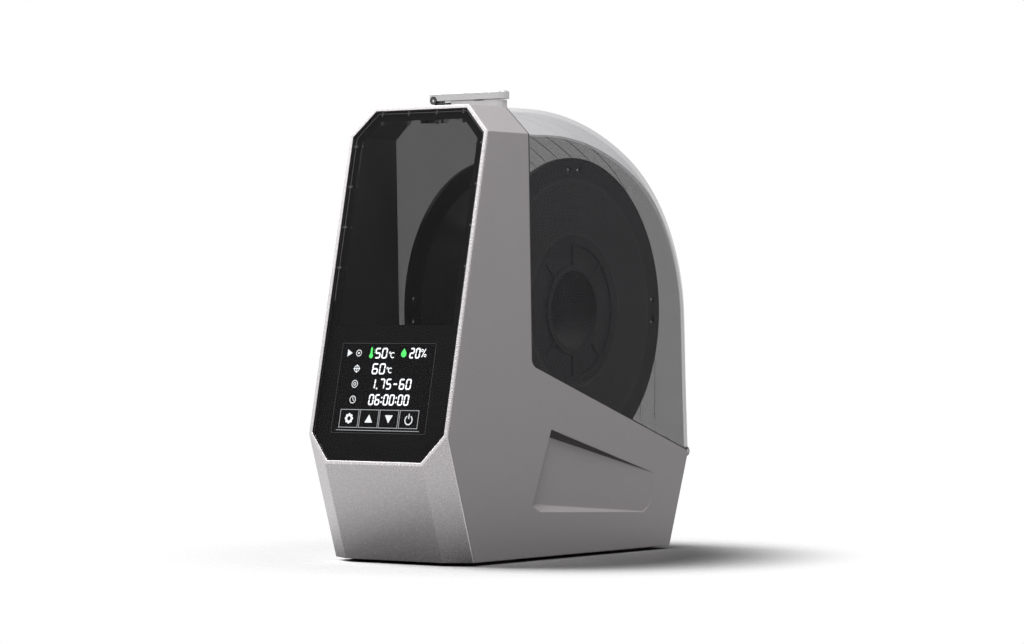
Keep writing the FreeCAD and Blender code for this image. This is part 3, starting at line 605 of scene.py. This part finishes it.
# %% Front plane
BELT_Z = 65.2
BELT_Y = -146.2
LEAN = 0.22
PLATE_THICK = 0.03


def on_front(across, up, depth):
    back = BELT_Y + LEAN * (up - BELT_Z) + depth * math.hypot(1, LEAN)
    return Vector((across, back, up)) * MM


def plates(name, outlines, depth, material, thick=PLATE_THICK):
    mesh = bmesh.new()
    for outline in outlines:
        near = [mesh.verts.new(on_front(x, z, depth)) for x, z in outline]
        far = [mesh.verts.new(on_front(x, z, depth + thick)) for x, z in outline]
        mesh.faces.new(near)
        mesh.faces.new(far[::-1])
        for n in range(len(near)):
            m = (n + 1) % len(near)
            mesh.faces.new((near[n], far[n], far[m], near[m]))
    plate = solid(name, mesh, material)
    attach(plate, "housing")
    return plate


print("front leans back by", round(math.degrees(math.atan(LEAN)), 1), "degrees")

# %% [markdown]
# ## Black print and its margin
# Black ink on the back of the pane hides what lies behind it. It fills the lower half, and a narrow margin of
# the same ink runs round the whole pane over the ledge that holds it. On the real pane both are one screen
# print. Here the margin is a ring of its own, because it has to fit into the thin gap between pane and ledge.
# The rates say how far the two lower corners shift for each millimetre that the outline is drawn in.

# %% Window print
CHIN_HALF, CHEEK_Z = 39.85, 84.3
CHIN_RATE, CHEEK_RATE = 0.46, 0.36
PRINT_TOP = 155.5
PRINT_INSET = 8.45
MARGIN_OUT, MARGIN_IN = 2.5, 8.8
MARGIN_DEPTH, MARGIN_THICK = 2.275, 0.02
PRINT_DEPTH, SCREEN_DEPTH = 2.34, 2.29


def pane_outline(inset):
    sink = MARGIN_DEPTH * LEAN
    side, corner = HALF - inset, shoulder_run(inset)
    chin = (CHIN_HALF - CHIN_RATE * inset, BELT_Z + inset - sink)
    cheek = (side, CHEEK_Z + CHEEK_RATE * inset - sink)
    shoulder = (side, TOP - corner - sink)
    brow = (HALF - corner, TOP - inset - sink)
    return both_sides([chin, cheek, shoulder, brow])


def pane_margin():
    outer, inner = pane_outline(MARGIN_OUT), pane_outline(MARGIN_IN)
    follow = [(n, (n + 1) % len(outer)) for n in range(len(outer))]
    return [[outer[n], outer[m], inner[m], inner[n]] for n, m in follow]


print_black = finish("print_black", (0.004, 0.004, 0.004), 0.5, size=900, contrast=0.2)
screen_black = finish("screen_black", (0.010, 0.011, 0.012), 0.25, size=900, contrast=0.2)
chin, cheek = pane_outline(PRINT_INSET)[:2]
back_print = both_sides([chin, cheek, (cheek[0], PRINT_TOP)])
screen_area = [(-40.3, 144.0), (-40.6, 85.6), (37.2, 85.6), (36.8, 144.0)]
plates("window_print", [back_print], PRINT_DEPTH, print_black)
plates("print_margin", pane_margin(), MARGIN_DEPTH, print_black, MARGIN_THICK)
plates("screen_face", [screen_area], SCREEN_DEPTH, screen_black)
print("window print", round(2 * cheek[0], 1), "mm wide")

# %% [markdown]
# ## Edge of the glass
# The cut edge of an acrylic window gathers light. Through the dark face it shows as a fine pale line just
# inside the frame, crossed by short ticks where clips hold the pane. Both are thin plates that lie between
# the pane and its ledge. Gathered light can't be traced through a plain pane, so the line and the ticks glow
# faintly, as painted light.

# %% Glass edge
LINE_INSET = 4.2
LINE_FOOT = 172.0
LINE_WIDTH = 0.5
TICK_HEIGHTS = (275.1, 248.1, 221.1, 194.1)
TICK_ACROSS = (-33.6, -11.6, 11.6, 33.6)
TICK_LONG, TICK_WIDE = 3.4, 1.0
LIGHT_DEPTH = 2.24


def glow(name, colour, strength):
    material = finish(name, colour, 0.4, size=3000, contrast=0.06)
    shader = material.node_tree.nodes["Principled BSDF"]
    shader.inputs["Emission Color"].default_value = (*colour, 1)
    shader.inputs["Emission Strength"].default_value = strength
    return material


def stroke(x0, z0, x1, z1, width):
    along = Vector((x1 - x0, z1 - z0)).normalized()
    side = Vector((-along.y, along.x)) * width / 2
    a, b = Vector((x0, z0)), Vector((x1, z1))
    return [tuple(v) for v in (a + side, b + side, b - side, a - side)]


def edge_marks():
    side_x, brow = HALF - LINE_INSET, TOP - LINE_INSET
    route = shoulder_outline(LINE_INSET, LINE_FOOT)
    marks = [stroke(*a, *b, LINE_WIDTH) for a, b in zip(route, route[1:])]
    for z in TICK_HEIGHTS:
        for x in (side_x - TICK_LONG / 2, -side_x - TICK_LONG / 2):
            marks.append(stroke(x, z, x + TICK_LONG, z, TICK_WIDE))
    for x in TICK_ACROSS:
        marks.append(stroke(x, brow - TICK_LONG / 2, x, brow + TICK_LONG / 2, TICK_WIDE))
    return marks


# Painted light: a faint glow stands in for the light gathered by the cut edge.
painted_edge_glow = glow("painted_edge_glow", (0.85, 0.85, 0.87), 0.3)
plates("glass_edge", edge_marks(), LIGHT_DEPTH, painted_edge_glow)
print("clip ticks:", 2 * len(TICK_HEIGHTS) + len(TICK_ACROSS))

# %% [markdown]
# ## Bars, dots and rings of the display
# The display is of the segment type: all that it shows is built from fixed shapes that light up. Three of
# them are enough here: a bar with pointed ends, a dot and a ring or part of one. A ring is a row of small
# plates, because a plate with a hole can't be one plain face.

# %% Display shapes


def bar(x0, z0, x1, z1, width):
    along = Vector((x1 - x0, z1 - z0)).normalized()
    side = Vector((-along.y, along.x)) * width / 2
    tip = along * width / 2
    a, b = Vector((x0, z0)), Vector((x1, z1))
    return [tuple(v) for v in (a, a + tip + side, b - tip + side, b, b - tip - side, a + tip - side)]


def disc(x, z, radius, sides):
    turns = [2 * math.pi * n / sides for n in range(sides)]
    return [(x + radius * math.cos(t), z + radius * math.sin(t)) for t in turns]


def arc(x, z, radius, width, start=0, sweep=360, pieces=24):
    inner, outer = radius - width / 2, radius + width / 2
    outlines = []
    for n in range(pieces):
        a, b = (math.radians(start + sweep * (n + k) / pieces) for k in (0, 1))
        corners = ((inner, a), (outer, a), (outer, b), (inner, b))
        outlines.append([(x + r * math.cos(t), z + r * math.sin(t)) for r, t in corners])
    return outlines


print("a full ring has", len(arc(0, 0, 2.0, 0.5)), "plates")

# %% [markdown]
# ## Figures
# Each figure is built from seven bars, named a to g as is usual for such displays, and leans a little to the
# right. A text font could be cut into plates as well, but bars give the gaps between segments. Four rows show
# the warmth and damp now, the set warmth, the material as a strand size and its warmth, and the time left.

# %% Figures
SEGMENTS = {"0": "abcdef", "1": "bc", "2": "abged", "5": "afgcd", "6": "afgedc", "7": "abc", "-": "g"}
SLANT = 0.07
BAR_WIDTH = 1.0
DOT_ROOM, DOT_RADIUS, DOT_SIDES = 1.2, 0.62, 10
DOT_ROWS = {":": (0.3, 0.7), ".": (0.08,)}


def figure(sign, left, foot, wide, tall):
    x0, x1 = left + BAR_WIDTH / 2, left + wide - BAR_WIDTH / 2
    z0, z2 = foot + BAR_WIDTH / 2, foot + tall - BAR_WIDTH / 2
    z1 = (z0 + z2) / 2
    ends = {"a": (x0, z2, x1, z2), "b": (x1, z2, x1, z1), "c": (x1, z1, x1, z0), "d": (x0, z0, x1, z0),
            "e": (x0, z0, x0, z1), "f": (x0, z1, x0, z2), "g": (x0, z1, x1, z1)}
    bars = [bar(*ends[name], BAR_WIDTH) for name in SEGMENTS[sign]]
    return [[(x + SLANT * (z - foot), z) for x, z in outline] for outline in bars]


def figures(text, left, foot, wide, tall, gap):
    made = []
    for sign in text:
        if sign in DOT_ROWS:
            for row in DOT_ROWS[sign]:
                x = left + DOT_ROOM / 2 + SLANT * tall * row
                made.append(disc(x, foot + tall * row, DOT_RADIUS, DOT_SIDES))
            left += DOT_ROOM + gap
        else:
            made += figure(sign, left, foot, wide, tall)
            left += wide + gap
    return made


def degrees_sign(left, foot, tall):
    ring = arc(left + 0.8, foot + tall - 0.8, radius=0.6, width=0.4, pieces=16)
    middle = foot + tall / 2 - 0.2
    letter = arc(left + 3.3, middle, tall / 2 - 0.5, width=0.6, start=50, sweep=260, pieces=16)
    return ring + letter


def percent_sign(left, foot, tall):
    slash = [(left + 0.6, foot), (left + 1.3, foot), (left + 4.0, foot + tall), (left + 3.3, foot + tall)]
    upper = arc(left + 1.0, foot + tall - 1.1, radius=0.8, width=0.45, pieces=14)
    lower = arc(left + 3.6, foot + 1.1, radius=0.8, width=0.45, pieces=14)
    return [slash] + upper + lower


lit = figures("50", left=-12.6, foot=134.1, wide=4.6, tall=7.0, gap=0.9)
lit += degrees_sign(left=-0.9, foot=134.4, tall=4.3)
lit += figures("20", left=15.9, foot=134.3, wide=3.9, tall=6.9, gap=0.8)
lit += percent_sign(left=25.3, foot=135.2, tall=5.4)
lit += figures("60", left=-13.4, foot=123.8, wide=4.9, tall=7.2, gap=1.0)
lit += degrees_sign(left=-1.3, foot=124.6, tall=4.1)
lit += figures("1.75-60", left=-13.4, foot=114.0, wide=4.4, tall=7.1, gap=1.05)
lit += figures("06:00:00", left=-12.9, foot=103.7, wide=4.2, tall=7.2, gap=0.8)
print("lit shapes:", len(lit))

# %% [markdown]
# ## Signs beside the rows
# The left column tells the rows apart without words. A pointer marks the active row, a ring and dot stands
# for the value now, a crossed ring for the set value, a reel for the material and a clock for the time left.
# All are drawn round one centre line with one line width, so that they look like a set.

# %% Row signs
SIGN_X = -26.0
SIGN_LINE = 0.5
NOW_Z, SET_Z, REEL_Z, TIME_Z = 137.6, 127.4, 117.4, 107.2
POINTER = [(-35.4, 140.0), (-35.4, 135.3), (-31.3, 137.65)]


def sign_ring(z, radius, pieces=24):
    return arc(SIGN_X, z, radius, SIGN_LINE, pieces=pieces)


def sign_bar(z, x0, z0, x1, z1):
    return bar(SIGN_X + x0, z + z0, SIGN_X + x1, z + z1, SIGN_LINE)


signs = [POINTER]
signs += sign_ring(NOW_Z, 2.0) + [disc(SIGN_X, NOW_Z, radius=0.7, sides=14)]
signs += sign_ring(SET_Z, 2.0) + [sign_bar(SET_Z, 0, -2.8, 0, 2.8), sign_bar(SET_Z, -2.8, 0, 2.8, 0)]
signs += sign_ring(REEL_Z, 2.3) + sign_ring(REEL_Z, 0.9, pieces=14)
signs += sign_ring(TIME_Z, 2.3) + [sign_bar(TIME_Z, 0, 0, 0, 1.8), sign_bar(TIME_Z, 0, 0, 1.4, -0.8)]
print("row signs:", len(signs), "plates")

# %% [markdown]
# ## Touch keys
# Under the rows are four framed touch keys: gear, up, down and power. They are only printed and lit, with
# sensing pads behind, so nothing moves. A frame is four thin rectangles, and the gear is a ring with a
# loop of teeth round it.

# %% Touch keys
KEY_LEFT = (-34.8, -18.3, -1.9, 14.6)
KEY_FOOT, KEY_TOP, KEY_WIDE = 88.9, 100.9, 15.7
KEY_LINE = 0.42
GEAR_RADIUS, GEAR_TEETH = 3.4, 8
GEAR_RING, GEAR_RING_WIDE = 0.62, 0.42
TOOTH = ((0.75, 0.24), (1.0, 0.17), (1.0, -0.17), (0.75, -0.24))
ARROW_HALF, ARROW_BASE, ARROW_TIP = 3.2, 2.5, 2.8
POWER_LINE = 0.75
UNDERLINE = [(-36.6, 87.1), (32.0, 87.1), (32.0, 87.5), (-36.6, 87.5)]


def rectangle(x0, z0, x1, z1):
    return [(x0, z0), (x1, z0), (x1, z1), (x0, z1)]


def key_frame(left):
    right = left + KEY_WIDE
    return [rectangle(left, KEY_FOOT, right, KEY_FOOT + KEY_LINE),
            rectangle(left, KEY_TOP - KEY_LINE, right, KEY_TOP),
            rectangle(left, KEY_FOOT, left + KEY_LINE, KEY_TOP),
            rectangle(right - KEY_LINE, KEY_FOOT, right, KEY_TOP)]


def gear(x, z):
    made = arc(x, z, GEAR_RADIUS * GEAR_RING, GEAR_RADIUS * GEAR_RING_WIDE)
    for n in range(GEAR_TEETH):
        t = 2 * math.pi * n / GEAR_TEETH
        out, side = Vector((math.cos(t), math.sin(t))), Vector((-math.sin(t), math.cos(t)))
        made.append([tuple(Vector((x, z)) + (out * a + side * b) * GEAR_RADIUS) for a, b in TOOTH])
    return made


def arrow(x, z, way):
    base, tip = z - way * ARROW_BASE, z + way * ARROW_TIP
    return [(x - ARROW_HALF, base), (x + ARROW_HALF, base), (x, tip)]


key_mid = (KEY_FOOT + KEY_TOP) / 2
gear_x, up_x, down_x, power_x = (left + KEY_WIDE / 2 for left in KEY_LEFT)
signs += gear(gear_x, key_mid)
signs += [arrow(up_x, key_mid, 1), arrow(down_x, key_mid, -1)]
signs += arc(power_x, key_mid - 0.4, radius=2.9, width=POWER_LINE, start=120, sweep=300)
signs.append(bar(power_x, key_mid + 0.2, power_x, key_mid + 3.9, POWER_LINE))
frames = [outline for left in KEY_LEFT for outline in key_frame(left)] + [UNDERLINE]
print("key frames:", len(frames), "plates")

# %% [markdown]
# ## Green signs
# Two signs in the first row are green: a thermometer for the warmth and a drop for the damp. The thermometer
# is a dot, a bar and two short marks. The drop is one outline, a point above and an arc below.

# %% Green signs
BULB_X, BULB_Z = -15.6, 135.8
MARK_LEFT, MARK_RIGHT = -13.6, -12.9
DROP_X, DROP_Z, DROP_RADIUS, DROP_TIP = 11.3, 137.2, 2.2, 140.9

green = [disc(BULB_X, BULB_Z, radius=1.6, sides=18), bar(BULB_X, 135.5, BULB_X, 141.6, width=1.5)]
green += [rectangle(MARK_LEFT, foot, MARK_RIGHT, foot + 0.6) for foot in (139.4, 137.8)]
drop_turns = [math.radians(angle) for angle in range(150, 391, 15)]
drop_arc = [(DROP_X + DROP_RADIUS * math.cos(t), DROP_Z + DROP_RADIUS * math.sin(t)) for t in drop_turns]
green.append([(DROP_X, DROP_TIP)] + drop_arc)
print("green plates:", len(green))

# %% [markdown]
# ## Lighting the display
# A real display shines through the tinted pane. The figures are the brightest, the signs and key frames are
# dimmer, and the rim of the screen is hardly seen. Lamps behind cut-out masks would copy the real build, but
# glowing plates look the same from in front and need no light inside the box.

# %% Lighting the display
RIM_LINE = 0.35
screen_rim = zip(screen_area, screen_area[1:] + screen_area[:1])
rim = [bar(*a, *b, RIM_LINE) for a, b in screen_rim]
white_light = glow("white_light", (0.9, 0.92, 0.95), 6.5)
sign_light = glow("sign_light", (0.80, 0.82, 0.85), 5.0)
frame_light = glow("frame_light", (0.60, 0.62, 0.64), 3.0)
edge_light = glow("edge_light", (0.30, 0.31, 0.32), 0.5)
green_light = glow("green_light", (0.10, 0.75, 0.16), 5.5)
plates("display_figures", lit, LIGHT_DEPTH, white_light)
plates("display_signs", signs, LIGHT_DEPTH, sign_light)
plates("display_green", green, LIGHT_DEPTH, green_light)
plates("key_frames", frames, LIGHT_DEPTH, frame_light)
plates("screen_edge", rim, LIGHT_DEPTH, edge_light)
print("signs:", len(signs))
